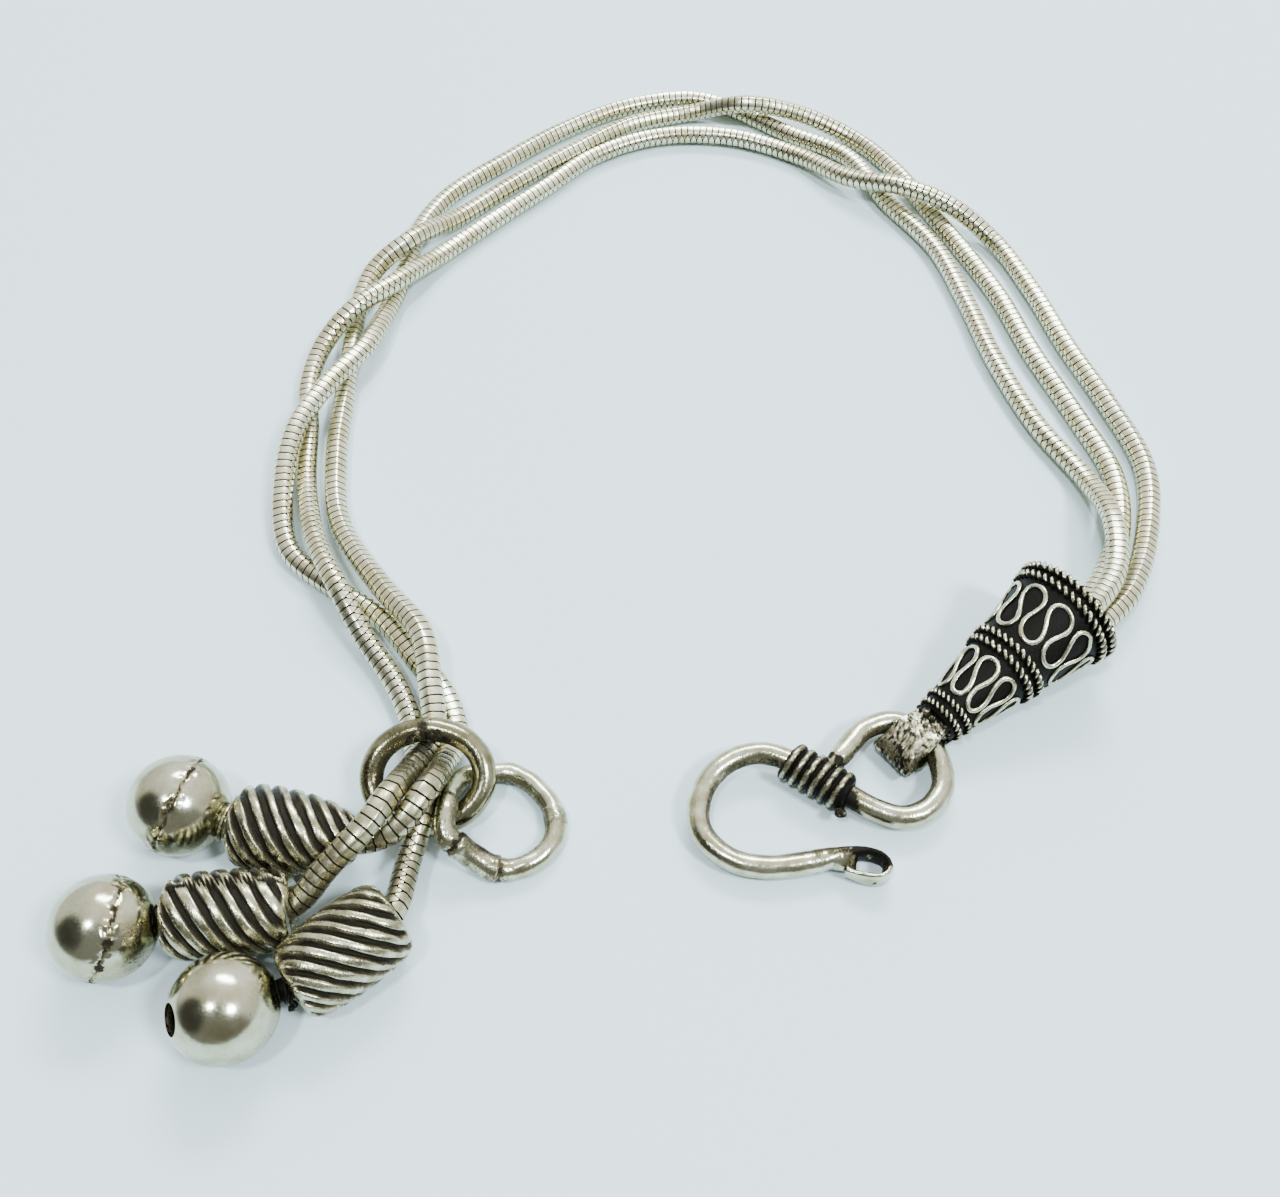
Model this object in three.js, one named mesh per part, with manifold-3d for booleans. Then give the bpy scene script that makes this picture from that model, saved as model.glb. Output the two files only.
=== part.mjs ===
// Three-strand chain bracelet, lying open on a flat surface. Millimetres, +Z up, surface at Z = 0.
// Three chains leave a decorated cone, twist round the open C, pass under and through a gathering ring,
// and end in fluted beads and balls. A hook hangs in the cone's bail, and a link ring in the gathering ring.
import * as THREE from 'three';
import { mergeVertices } from 'three/addons/utils/BufferGeometryUtils.js';
import Module from 'manifold-3d';

const wasm = await Module();
wasm.setup();

// ---- driving dimensions ----
const chain = { diameter: 1.6, sides: 8, steps: 80 };
const cone = {
  mouth: [26.5, -17.1, 4.05], // centre of the open end
  tip: [17.0, -24.6, 1.65], // centre of the narrow end
  mouthRadius: 3.8, tipRadius: 1.4, wall: 0.45, plug: 2.2, segments: 24,
  wireHeight: 0.28, wireWidth: 0.5, wireTop: 0.25, wireEdge: 0.02, // twisted wires, proud of the wall
  wires: [0.3, 1.0, 5.5, 6.4, 11.0, 11.8], // their places, from the mouth
};
// the bail's base is "inside" the cone's plug; "clearance" is its height over the surface
const bail = {
  width: 2.6, thickness: 0.45, length: 5.0, height: 2.6, inside: 0.75, clearance: 0.04, cornerRadius: 1.2,
};
const hook = { wire: 1.4, sides: 8, steps: 56, ribbonHeight: 1.9, ribbonThickness: 0.55, ribbonSteps: 20 };
const wrap = { wire: 0.6, pitch: 0.7, turns: 6.1, gap: 0.1, sides: 6, stepsPerTurn: 10 };
const gathering = {
  centre: [-15.95, -28.92, 2.35], halfWidth: 3.6, halfDepth: 3, tilt: 27, wire: 1.52, sides: 8, steps: 16,
  lump: { radius: 0.95, scale: [1.15, 0.9, 0.75], from: [-0.3, -0.1, 0.25] }, // solder, on the far bar
};
const link = { wire: 1.36, sides: 8, steps: 18 };
const bore = { radius: 0.98, mouthRadius: 1.3, mouthDepth: 0.9 };
const fluted = { endRadius: 1.5, middleRadius: 2.55, rings: 9, segments: 22 };
const ball = { radius: 3.12, wall: 0.4, rings: 9, segments: 20 };

// ---- routes, [x, y, z] of each centreline ----
const strandRoutes = {
  strand_a: [
    [23.5, -20, 4.4], [26.4, -18.2, 4.2], [28.8, -16.1, 3.5], [30.9, -13, 3.1], [31.8, -8.4, 2.8],
    [31.4, -3.3, 1.2], [28.7, 2.8, 0.9], [26.6, 9.9, 0.9], [25.3, 17.1, 0.8], [23.5, 24.2, 0.9],
    [20, 30.6, 0.8], [17, 37.1, 0.9], [11.6, 41, 0.8], [7.3, 44.3, 0.8], [2.9, 46.3, 0.9],
    [-3.7, 45.1, 0.9], [-9.8, 41.3, 0.9], [-15.2, 36.4, 0.9], [-20, 31.4, 0.8], [-22.2, 26.4, 0.9],
    [-22.9, 21.4, 0.8], [-23.7, 16.3, 1], [-24.8, 10.3, 2.2], [-27.1, 5.5, 2.7], [-28.9, 1, 2.6],
    [-29.3, -4.1, 1.7], [-28.1, -9.7, 0.9], [-24.4, -13, 0.8], [-20.4, -16, 0.8], [-17.9, -19.1, 0.9],
    [-15.7, -22, 0.8], [-14.6, -25.1, 1.1], [-15, -27.9, 2.3], [-15.7, -31, 4.4], [-17.6, -33.3, 3.6],
    [-20.1, -33.5, 2.6], [-22.9, -33, 2.5], [-25.6, -32.6, 2.6], [-28.4, -32.1, 2.7], [-31, -31.3, 3.1],
  ],
  strand_b: [
    [24.2, -20.2, 2.7], [27.1, -18.9, 2.7], [29.4, -16.9, 2.1], [32.1, -14, 1.7], [34.7, -8.6, 1.1],
    [36.2, -1.7, 0.9], [34.8, 5, 0.9], [32.8, 11.6, 0.9], [31.2, 18.2, 0.9], [29, 24.5, 1],
    [25.2, 28, 2.4], [21, 30.2, 2.8], [16.8, 32.7, 1.8], [12.4, 37.3, 0.9], [6.3, 40.2, 0.9],
    [-0.6, 40.3, 0.9], [-6.6, 37.4, 0.9], [-11.3, 32.4, 0.9], [-16, 27.4, 0.9], [-20.1, 22.5, 1.2],
    [-23.1, 17.6, 2.6], [-26.3, 14, 2.7], [-28.5, 11, 1.5], [-29.2, 7, 0.9], [-28.5, 2.4, 0.9],
    [-27.8, -3.4, 0.9], [-25.9, -9.8, 2.1], [-23.6, -14.3, 2.6], [-21.4, -17.9, 1.5], [-19.2, -21, 1.1],
    [-17.8, -23.8, 0.9], [-17.1, -26.5, 0.8], [-16.4, -29, 1.1], [-16, -31.2, 2.7], [-16.7, -34.8, 2],
    [-17.3, -38.3, 2.6], [-19.2, -39.9, 2.5], [-21.2, -41.6, 2.4], [-23.5, -42.9, 2.6], [-25.9, -43.9, 3.1],
  ],
  strand_c: [
    [23.3, -18.9, 2], [26, -17.1, 1.8], [28.7, -14.9, 1.5], [31, -11.8, 1.2], [33, -7.5, 0.9],
    [33.6, -2.4, 0.9], [32, 3.9, 0.8], [29.8, 10.8, 0.9], [28.1, 17.8, 0.9], [25.7, 24.6, 0.8],
    [23.4, 30.2, 0.8], [21.4, 34.8, 0.9], [18.2, 39.6, 0.9], [12.9, 42.4, 1.9], [7.7, 43, 2.6],
    [2.8, 44.1, 1], [-3.2, 42.3, 0.9], [-8.9, 37.9, 0.9], [-14.2, 33, 0.9], [-18.8, 28.1, 1],
    [-22.4, 23.1, 2.6], [-25.4, 20.1, 1.6], [-26.4, 16, 0.9], [-26.3, 11.1, 0.9], [-26.2, 6.1, 0.8],
    [-26, 0.1, 0.9], [-24.8, -7, 0.9], [-20.9, -13.5, 1.9], [-17.4, -18.2, 2.8], [-16.5, -21.9, 2.5],
    [-16, -25.4, 2], [-17, -28.6, 2.9], [-17.7, -31.3, 4.8], [-19.1, -33.8, 4.9], [-21.2, -35.8, 3.8],
    [-23, -37.5, 2.7], [-25.5, -38, 2.6], [-28.4, -38.2, 2.6], [-31.1, -38.5, 2.7], [-33.8, -39.2, 3.1],
  ],
};
// from the eye's cut end round the eye, through the wrap, round the big bend, to where the tip turns flat
const hookRoute = [
  [10.8, -26.6, 1.5], [12.2, -25, 1.35], [13.9, -24.3, 1.3], [15.2, -24.6, 1.28], [16.2, -25.4, 1.26],
  [16.8, -26.7, 1.25], [17, -28, 1.24], [16.8, -29.3, 1.23], [15.8, -30.6, 1.22], [14.2, -31.2, 1.22],
  [12.5, -30.7, 1.27], [10.6, -29.6, 1.36], [9.05, -28.55, 1.43], [7.5, -27.5, 1.5], [5.5, -26.8, 1.55],
  [3.4, -27.3, 1.51], [1.9, -28.7, 1.4], [1.2, -30.5, 1.26], [1.3, -32, 1.15], [2.4, -33.5, 1.03],
  [4.1, -34.3, 0.97], [6.3, -34.4, 0.96], [8.2, -34.1, 0.97], [9.6, -33.8, 0.97],
];
const ribbonRoute = [
  [7.6, -34.25, 0.96], [9, -33.95, 0.96], [10.4, -33.65, 0.96], [11.7, -33.6, 0.96], [12.6, -34, 0.96],
  [12.85, -34.7, 0.96], [12.3, -35.25, 0.96], [11.2, -35.15, 0.96], [10.2, -34.75, 0.96],
];
const wrapAxis = { from: [10.75, -29.7, 1.36], to: [7.1, -27.25, 1.52] };
const linkRoute = [
  [-12, -27.8, 0.68], [-10.9, -27.8, 0.67], [-9.6, -28.5, 0.67], [-8.5, -29.7, 0.67], [-7.9, -30.9, 0.67],
  [-7.9, -32.3, 0.67], [-8.5, -33.4, 0.67], [-9.6, -34.2, 0.68], [-10.7, -34.5, 0.68], [-11.7, -34.4, 0.8],
  [-12.6, -34, 1.2], [-13.5, -33.6, 1.9], [-14.2, -33.3, 2.5], [-14.5, -32.7, 2.82], [-14.5, -31.3, 2.91],
  [-14.5, -29.8, 1.87], [-14.2, -28.7, 1.02], [-13.4, -27.9, 0.71],
];
// each tail's beads: the fluted bead's two ends, and the ball's centre
const tails = [
  { number: 1, near: [-21, -33.3, 2.5], far: [-27.6, -32.3, 2.62], ball: [-31, -31.3, 3.12] },
  { number: 2, near: [-23.5, -37.8, 2.58], far: [-30.3, -38.4, 2.65], ball: [-33.8, -39.2, 3.12] },
  { number: 3, near: [-17, -38.1, 2.62], far: [-22.3, -42.4, 2.55], ball: [-25.9, -43.9, 3.12] },
];

// ---- finishes ----
const finish = (color, roughness) => new THREE.MeshStandardMaterial({ color, roughness, metalness: 1 });
const chainSilver = finish(0xd9d4c6, 0.3);
const polishedSilver = finish(0xd2cec4, 0.2);
const darkenedSilver = finish(0x5c5850, 0.45);

// ---- helpers ----
const vector = ([x, y, z]) => new THREE.Vector3(x, y, z);

function part(name, geometry, material) {
  const mesh = new THREE.Mesh(geometry, material);
  mesh.name = name;
  return mesh;
}

function circleShape(diameter, sides) {
  const shape = new THREE.Shape();
  for (let i = 0; i < sides; i++) {
    const turn = (2 * Math.PI * (i + 0.5)) / sides;
    const corner = [(diameter / 2) * Math.cos(turn), (diameter / 2) * Math.sin(turn)];
    if (i === 0) shape.moveTo(...corner);
    else shape.lineTo(...corner);
  }
  shape.closePath();
  return shape;
}

function tubeAlong(curve, diameter, sides, steps) {
  return new THREE.ExtrudeGeometry(circleShape(diameter, sides), { steps, extrudePath: curve });
}

const routeCurve = (points) => new THREE.CatmullRomCurve3(points.map(vector), false, 'centripetal');

function toSolid(geometry) {
  const bare = geometry.clone();
  bare.deleteAttribute('normal');
  bare.deleteAttribute('uv');
  const merged = mergeVertices(bare, 1e-4);
  return new wasm.Manifold(new wasm.Mesh({
    numProp: 3,
    vertProperties: new Float32Array(merged.attributes.position.array),
    triVerts: new Uint32Array(merged.index.array),
  }));
}

function toGeometry(solid) {
  const mesh = solid.getMesh();
  const geometry = new THREE.BufferGeometry();
  geometry.setAttribute('position', new THREE.BufferAttribute(new Float32Array(mesh.vertProperties), 3));
  geometry.setIndex(new THREE.BufferAttribute(new Uint32Array(mesh.triVerts), 1));
  geometry.computeVertexNormals();
  return geometry;
}

const join = (geometries) => toGeometry(geometries.map(toSolid).reduce((a, b) => a.add(b)));

// A closed wire ring, as two lengths of wire that run a little into each other at both ends.
function closedWire(points, diameter, sides, steps) {
  const loop = new THREE.CatmullRomCurve3(points.map(vector), true, 'centripetal');
  const overlap = 0.02;
  const halves = [0, 0.5].map((start) => {
    const half = [];
    for (let i = 0; i <= steps; i++) {
      const along = start - overlap + ((0.5 + 2 * overlap) * i) / steps;
      half.push(loop.getPoint((along + 1) % 1));
    }
    const curve = new THREE.CatmullRomCurve3(half, false, 'centripetal');
    return tubeAlong(curve, diameter, sides, steps);
  });
  return join(halves);
}

// The axis of a lathe is Y: this turns and moves a lathe so that Y = 0 sits at "from" and +Y points at "to".
function alongLine(geometry, from, to) {
  const direction = vector(to).sub(vector(from)).normalize();
  const turn = new THREE.Quaternion().setFromUnitVectors(new THREE.Vector3(0, 1, 0), direction);
  return geometry.applyQuaternion(turn).translate(...from);
}

const lathe = (profile, segments) => new THREE.LatheGeometry(
  profile.map(([radius, along]) => new THREE.Vector2(radius, along)), segments);

// ---- the pieces ----
function strands() {
  return Object.entries(strandRoutes).map(([name, points]) => part(
    name, tubeAlong(routeCurve(points), chain.diameter, chain.sides, chain.steps), chainSilver));
}

// Outer wall with six half-round wires, then back along the hollow inside; the narrow end is plugged.
function coneProfile(length) {
  const slope = (cone.mouthRadius - cone.tipRadius) / length;
  const wallRadius = (along) => cone.mouthRadius - slope * along;
  const profile = [[wallRadius(0), 0]];
  for (const place of cone.wires) {
    const half = cone.wireWidth / 2;
    const top = wallRadius(place) + cone.wireHeight;
    profile.push([wallRadius(place - half), place - half + cone.wireEdge]);
    profile.push([top, place - cone.wireTop / 2], [top, place + cone.wireTop / 2]);
    profile.push([wallRadius(place + half), place + half - cone.wireEdge]);
  }
  const plug = length - cone.plug;
  profile.push([cone.tipRadius, length], [0, length], [0, plug]);
  profile.push([wallRadius(plug) - cone.wall, plug], [wallRadius(0) - cone.wall, 0], [wallRadius(0), 0]);
  return profile;
}

// A flat band bent to a loop, standing in the upright plane of the cone's axis, welded to the plug.
function bailBand() {
  const { width, thickness, length, height } = bail;
  const outline = (inset) => {
    const [x0, x1, y0, y1] = [-bail.inside + inset, length - bail.inside - inset, inset, height - inset];
    const radius = Math.min(height / 2, bail.cornerRadius) - inset;
    const path = inset === 0 ? new THREE.Shape() : new THREE.Path();
    path.moveTo(x0, y0);
    path.lineTo(x1 - radius, y0);
    path.absarc(x1 - radius, y0 + radius, radius, -Math.PI / 2, 0, false);
    path.absarc(x1 - radius, y1 - radius, radius, 0, Math.PI / 2, false);
    path.lineTo(x0, y1);
    path.closePath();
    return path;
  };
  const shape = outline(0);
  shape.holes.push(outline(thickness));
  const band = new THREE.ExtrudeGeometry(shape, { depth: width, bevelEnabled: false, curveSegments: 5 });
  const out = vector(cone.tip).sub(vector(cone.mouth)).setZ(0).normalize();
  const across = new THREE.Vector3().crossVectors(out, new THREE.Vector3(0, 0, 1));
  const frame = new THREE.Matrix4().makeBasis(out, new THREE.Vector3(0, 0, 1), across);
  band.translate(0, bail.clearance, -width / 2).applyMatrix4(frame);
  return band.translate(cone.tip[0], cone.tip[1], 0);
}

function coneCap() {
  const length = vector(cone.mouth).distanceTo(vector(cone.tip));
  const shell = alongLine(lathe(coneProfile(length), cone.segments), cone.mouth, cone.tip);
  return part('cone_cap', join([shell, bailBand()]), darkenedSilver);
}

function sHook() {
  const wire = tubeAlong(routeCurve(hookRoute), hook.wire, hook.sides, hook.steps);
  const section = new THREE.Shape();
  const [up, side] = [hook.ribbonHeight / 2, hook.ribbonThickness / 2];
  section.moveTo(-up, -side);
  section.lineTo(up, -side);
  section.lineTo(up, side);
  section.lineTo(-up, side);
  section.closePath();
  const tip = new THREE.ExtrudeGeometry(section, {
    steps: hook.ribbonSteps, extrudePath: routeCurve(ribbonRoute),
  });
  return part('s_hook', join([wire, tip]), polishedSilver);
}

class Coil extends THREE.Curve {
  getPoint(t) {
    const radius = hook.wire / 2 + wrap.gap + wrap.wire / 2;
    const turn = 2 * Math.PI * wrap.turns * t;
    return new THREE.Vector3(radius * Math.cos(turn), wrap.pitch * wrap.turns * t, radius * Math.sin(turn));
  }
}

function wireWrap() {
  const coil = tubeAlong(new Coil(), wrap.wire, wrap.sides, Math.round(wrap.stepsPerTurn * wrap.turns));
  return part('wire_wrap', alongLine(coil, wrapAxis.from, wrapAxis.to), darkenedSilver);
}

function gatheringRing() {
  const { centre, halfWidth, halfDepth, lump } = gathering;
  const tilt = THREE.MathUtils.degToRad(gathering.tilt);
  const onRing = (turn) => [
    centre[0] + halfWidth * Math.cos(turn),
    centre[1] + halfDepth * Math.sin(turn) * Math.cos(tilt),
    centre[2] + halfDepth * Math.sin(turn) * Math.sin(tilt),
  ];
  const points = Array.from({ length: 16 }, (_, i) => onRing((2 * Math.PI * i) / 16));
  const ring = closedWire(points, gathering.wire, gathering.sides, gathering.steps);
  const solder = new THREE.IcosahedronGeometry(lump.radius, 1).scale(...lump.scale);
  solder.translate(...lump.from).translate(...onRing(Math.PI / 2));
  return part('gathering_ring', join([ring, solder]), polishedSilver);
}

const linkRing = () => part(
  'link_ring', closedWire(linkRoute, link.wire, link.sides, link.steps), polishedSilver);

// A barrel with a bore that opens out at both ends: a round swell outside, from end face to end face.
function flutedBead({ number, near, far }) {
  const length = vector(near).distanceTo(vector(far));
  const rise = fluted.middleRadius - fluted.endRadius;
  const profile = [[bore.mouthRadius, 0]];
  for (let i = 0; i < fluted.rings; i++) {
    const along = i / (fluted.rings - 1);
    const swell = Math.sqrt(1 - (2 * along - 1) ** 2);
    profile.push([fluted.endRadius + rise * swell, length * along]);
  }
  profile.push([bore.mouthRadius, length], [bore.radius, length - bore.mouthDepth]);
  profile.push([bore.radius, bore.mouthDepth], [bore.mouthRadius, 0]);
  const bead = alongLine(lathe(profile, fluted.segments), near, far);
  return part(`fluted_bead_${number}`, bead, darkenedSilver);
}

// A thin hollow ball, drilled through along the thread.
function ballBead({ number, far, ball: centre }) {
  const shellPoints = (radius) => {
    const start = Math.asin(bore.radius / radius);
    return Array.from({ length: ball.rings + 1 }, (_, i) => {
      const angle = start + ((Math.PI - 2 * start) * i) / ball.rings;
      return [radius * Math.sin(angle), -radius * Math.cos(angle)];
    });
  };
  const outer = shellPoints(ball.radius);
  const inner = shellPoints(ball.radius - ball.wall).reverse();
  const shell = lathe([...outer, ...inner, outer[0]], ball.segments);
  const beyond = vector(centre).multiplyScalar(2).sub(vector(far)).toArray();
  return part(`ball_bead_${number}`, alongLine(shell, centre, beyond), polishedSilver);
}

// ---- assembly ----
const bracelet = new THREE.Group();
bracelet.add(...strands(), coneCap(), sHook(), wireWrap(), gatheringRing(), linkRing());
for (const tail of tails) bracelet.add(flutedBead(tail), ballBead(tail));

export default bracelet;
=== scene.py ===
import random
from math import asin, atan2, cos, pi, radians, sin, sqrt
import bmesh
import bpy
from mathutils import Matrix, Vector, noise
from mathutils.kdtree import KDTree


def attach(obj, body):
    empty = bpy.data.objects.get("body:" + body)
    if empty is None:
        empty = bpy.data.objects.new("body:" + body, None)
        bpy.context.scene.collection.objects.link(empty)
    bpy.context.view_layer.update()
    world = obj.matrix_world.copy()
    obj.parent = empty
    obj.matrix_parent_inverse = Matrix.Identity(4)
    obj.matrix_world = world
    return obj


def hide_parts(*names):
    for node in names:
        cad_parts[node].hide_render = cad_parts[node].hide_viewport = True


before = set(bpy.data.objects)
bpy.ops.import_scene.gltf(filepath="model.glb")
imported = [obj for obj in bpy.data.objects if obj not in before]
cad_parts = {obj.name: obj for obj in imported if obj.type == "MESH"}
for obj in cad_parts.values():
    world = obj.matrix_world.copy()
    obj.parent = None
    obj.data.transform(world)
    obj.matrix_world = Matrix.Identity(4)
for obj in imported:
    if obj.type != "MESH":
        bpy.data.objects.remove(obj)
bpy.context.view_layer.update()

mm = 0.001  # sizes below are in millimetres, and become metres where a shape is made
scene = bpy.context.scene
upward = Vector((0, 0, 1))
level = Vector((1, 1, 0))  # times this, a direction loses its height


# small tools that every piece uses

def linear(hexColour):
    parts = [int(hexColour[i:i + 2], 16) / 255 for i in (1, 3, 5)]
    return [p / 12.92 if p <= 0.04045 else ((p + 0.055) / 1.055) ** 2.4 for p in parts] + [1]


def addNode(tree, kind, settings=None, inputs=None):
    node = tree.nodes.new("ShaderNode" + kind)
    for name, value in (settings or {}).items():
        setattr(node, name, value)
    for name, value in (inputs or {}).items():
        if isinstance(value, bpy.types.NodeSocket):
            tree.links.new(value, node.inputs[name])
        else:
            node.inputs[name].default_value = value
    return node


def smoothStep(start, end, value):
    # from 0 at the start to 1 at the end, whichever of the two is the larger
    t = min(1, max(0, (value - start) / (end - start)))
    return t * t * (3 - 2 * t)


def newObject(name, data):
    piece = bpy.data.objects.new(name, data)
    scene.collection.objects.link(piece)
    return piece


def meshOf(name, bm):
    mesh = bpy.data.meshes.new(name)
    bm.to_mesh(mesh)
    bm.free()
    return mesh


def lumpy(place, size, seed=0):
    # smooth noise between about -1 and 1, with lumps of that size in mm
    return noise.noise(place / (size * mm) + Vector((seed, 0, 0)))


def onCircle(radius, turn, height):
    return Vector((radius * cos(turn), radius * sin(turn), height))


def fromAxis(place):
    return sqrt(place.x ** 2 + place.y ** 2)


def reachAlong(line):
    # how far along the line each of its places is, from 0 to its whole length
    reach = [0]
    for a, b in zip(line, line[1:]):
        reach.append(reach[-1] + (b - a).length)
    return reach


def smoothRoute(points, perSpan, closed=False):
    # a centripetal Catmull-Rom line through the points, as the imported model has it
    places = [Vector(p) * mm for p in points]
    if closed:
        knots = places[-1:] + places + places[:2]
    else:
        knots = [places[0] * 2 - places[1]] + places + [places[-1] * 2 - places[-2]]
    line = []
    for a, b, c, d in zip(knots, knots[1:], knots[2:], knots[3:]):
        ab, bc, cd = sqrt((b - a).length), sqrt((c - b).length), sqrt((d - c).length)
        leave = ((b - a) / ab - (c - a) / (ab + bc) + (c - b) / bc) * bc
        arrive = ((c - b) / bc - (d - b) / (bc + cd) + (d - c) / cd) * bc
        for k in range(perSpan):
            t = k / perSpan
            line.append(b * (2 * t**3 - 3 * t**2 + 1) + leave * (t**3 - 2 * t**2 + t)
                        + c * (3 * t**2 - 2 * t**3) + arrive * (t**3 - t**2))
    if not closed:
        line.append(places[-1])
    return line


def routeObject(points, tilts=None, closed=False, twist="Z_UP"):
    curve = bpy.data.curves.new("route", "CURVE")
    curve.dimensions = "3D"
    curve.twist_mode = twist
    spline = curve.splines.new("POLY")
    spline.points.add(len(points) - 1)
    for i, place in enumerate(points):
        spline.points[i].co = (*place, 1)
        spline.points[i].tilt = tilts[i] if tilts else 0
    spline.use_cyclic_u = closed
    return newObject("route", curve)


def shapeOf(piece):
    # the mesh that an object's modifiers or bevel make, as a bmesh; the object goes
    bpy.context.view_layer.update()
    mesh = bpy.data.meshes.new_from_object(piece.evaluated_get(bpy.context.evaluated_depsgraph_get()))
    bm = bmesh.new()
    bm.from_mesh(mesh)
    bpy.data.meshes.remove(mesh)
    data = piece.data
    bpy.data.objects.remove(piece)
    (bpy.data.curves if isinstance(data, bpy.types.Curve) else bpy.data.meshes).remove(data)
    return bm


def wire(points, radius, closed=False, roundness=4, twist="MINIMUM"):
    piece = routeObject(points, closed=closed, twist=twist)
    piece.data.bevel_depth = radius * mm
    piece.data.bevel_resolution = roundness
    piece.data.use_fill_caps = not closed
    bm = shapeOf(piece)
    bmesh.ops.remove_doubles(bm, verts=bm.verts, dist=1e-7)
    return bm


def drop(place, radius, smooth=2, stretch=(1, 1, 1)):
    # a drop of solder or flux
    bm = bmesh.new()
    bmesh.ops.create_icosphere(bm, subdivisions=smooth, radius=radius * mm)
    bmesh.ops.scale(bm, vec=stretch, verts=bm.verts)
    bmesh.ops.translate(bm, vec=Vector(place) * mm, verts=bm.verts)
    return bm


def vertsOf(made):
    return [g for g in made["geom"] if isinstance(g, bmesh.types.BMVert)]


def joined(parts):
    whole = bmesh.new()
    for part in parts:
        mesh = meshOf("part", part)
        whole.from_mesh(mesh)
        bpy.data.meshes.remove(mesh)
    return whole


def roughen(bm, size, amount, seed=0):
    # pushes the surface in and out by smooth noise, as hand work and casting leave it
    bm.normal_update()
    for v in bm.verts:
        v.co += v.normal * (amount * mm * lumpy(v.co, size, seed))


def profileOf(pairs):
    return [Vector((radius, 0, height)) * mm for radius, height in pairs]


def spun(profile, steps):
    # a closed profile turned round Z
    bm = bmesh.new()
    ring = [bm.verts.new(place) for place in profile]
    edges = [bm.edges.new(pair) for pair in zip(ring, ring[1:] + ring[:1])]
    bmesh.ops.spin(bm, geom=ring + edges, cent=(0, 0, 0), axis=(0, 0, 1), dvec=(0, 0, 0),
                   angle=2 * pi, steps=steps, use_merge=True)
    bmesh.ops.remove_doubles(bm, verts=bm.verts, dist=1e-7)
    return bm


def standAlong(bm, start, end):
    # Z = 0 goes to the start, +Z points at the end, and +Y turns as far up as it can
    start, end = Vector(start) * mm, Vector(end) * mm
    bm.transform(Matrix.Translation(start) @ (end - start).to_track_quat("Z", "Y").to_matrix().to_4x4())


def measured(bm, line):
    # for each vertex, the nearest place on the line and how far along it that is, in mm
    tree = KDTree(len(line))
    for i, place in enumerate(line):
        tree.insert(place, i)
    tree.balance()
    reach = reachAlong(line)
    nearest = [tree.find(v.co)[1] for v in bm.verts]
    return [(v, line[i], reach[i] / mm) for v, i in zip(bm.verts, nearest)]


def patinaAndShadeLayer(bm):
    # 0 on bright silver, 1 where it is black with oxide; the same layer also carries painted shade
    return bm.verts.layers.float.get("patinaAndShade") or bm.verts.layers.float.new("patinaAndShade")


def blacken(bm, patinaAndShade=1):
    layer = patinaAndShadeLayer(bm)
    for v in bm.verts:
        v[layer] = patinaAndShade


def stainAndShade(bm, spots):
    # darkens round each spot [x, y, z, radius, strength], with a ragged edge: dark oxide, and on the hook's curl
    # painted shade
    layer = patinaAndShadeLayer(bm)
    for v in bm.verts:
        ragged = 1 + 0.35 * lumpy(v.co, 0.45) + 0.2 * lumpy(v.co, 0.17)
        for x, y, z, radius, strength in spots:
            away = (v.co - Vector((x, y, z)) * mm).length * ragged / (radius * mm)
            v[layer] = max(v[layer], strength * smoothStep(1.1, 0.6, away))


def addPiece(name, bm, material, replaced=(), sharp=None, turnedOut=True):
    if turnedOut:
        bmesh.ops.recalc_face_normals(bm, faces=bm.faces)
    mesh = meshOf(name, bm)
    for face in mesh.polygons:
        face.use_smooth = True
    if sharp:
        mesh.set_sharp_from_angle(angle=radians(sharp))
    mesh.materials.append(material)
    piece = newObject(name, mesh)
    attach(piece, "root")
    if replaced:
        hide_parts(*replaced)
    return piece


# camera, floor and light

print("camera and studio")
view = {"place": (-2.5, -67.0, 75.2), "tilt": 35.5, "lens": 36.084375, "sensor": 36, "nearest": 2}
cameraData = bpy.data.cameras.new("camera")
cameraData.sensor_fit = "HORIZONTAL"
cameraData.sensor_width = view["sensor"]
cameraData.lens = view["lens"]
cameraData.clip_start = view["nearest"] * mm
camera = newObject("camera", cameraData)
camera.location = Vector(view["place"]) * mm
camera.rotation_euler = (radians(view["tilt"]), 0, 0)
scene.camera = camera

# silver needs something dark to reflect, so the room has shades
studio = {
    "floorSize": 1600, "floorColour": "#d5e6ec", "floorRoughness": 0.75, "floorGloss": 0.2, "floorSink": 0.01,
    "sky": "#f6f8f0", "skyStrength": 1.24,
    "shades": [  # each fades in from outer to inner, by how near a direction is to its own
        # a lighter ceiling at the back
        {"colour": "#ffffff", "strength": 1.5, "from": (0.3, 0.72, 0.62), "outer": 0.45, "inner": 0.92},
        # the unlit side of the room
        {"colour": "#8a8b86", "strength": 1, "from": (-0.22, -0.97, -0.05), "outer": -0.05, "inner": 0.3},
        # a dark board on its left
        {"colour": "#4a4a47", "strength": 1, "from": (-0.74, -0.37, 0.55), "outer": 0.8, "inner": 0.93}],
    "lampColour": "#e3f0f6",
    "lamps": [
        {"place": (292, -202, 483), "size": (130, 112), "power": 4.7},
        {"place": (-131, -182, 577), "size": (64, 64), "power": 2.9},
        {"place": (58, 377, 427), "size": (330, 130), "power": 4.2}],
}

floorShape = bmesh.new()
bmesh.ops.create_grid(floorShape, x_segments=8, y_segments=8, size=studio["floorSize"] / 2 * mm)
bmesh.ops.translate(floorShape, vec=(0, 0, -studio["floorSink"] * mm), verts=floorShape.verts)
floorMesh = meshOf("floor", floorShape)
paleCard = bpy.data.materials.new("pale matt card")  # smooth coated card: even, with no grain the eye can find
paleCard.use_nodes = True
shader = paleCard.node_tree.nodes["Principled BSDF"]
shader.inputs["Base Color"].default_value = linear(studio["floorColour"])
shader.inputs["Roughness"].default_value = studio["floorRoughness"]
shader.inputs["Specular IOR Level"].default_value = studio["floorGloss"]
floorMesh.materials.append(paleCard)
floorPiece = newObject("floor", floorMesh)

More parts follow.
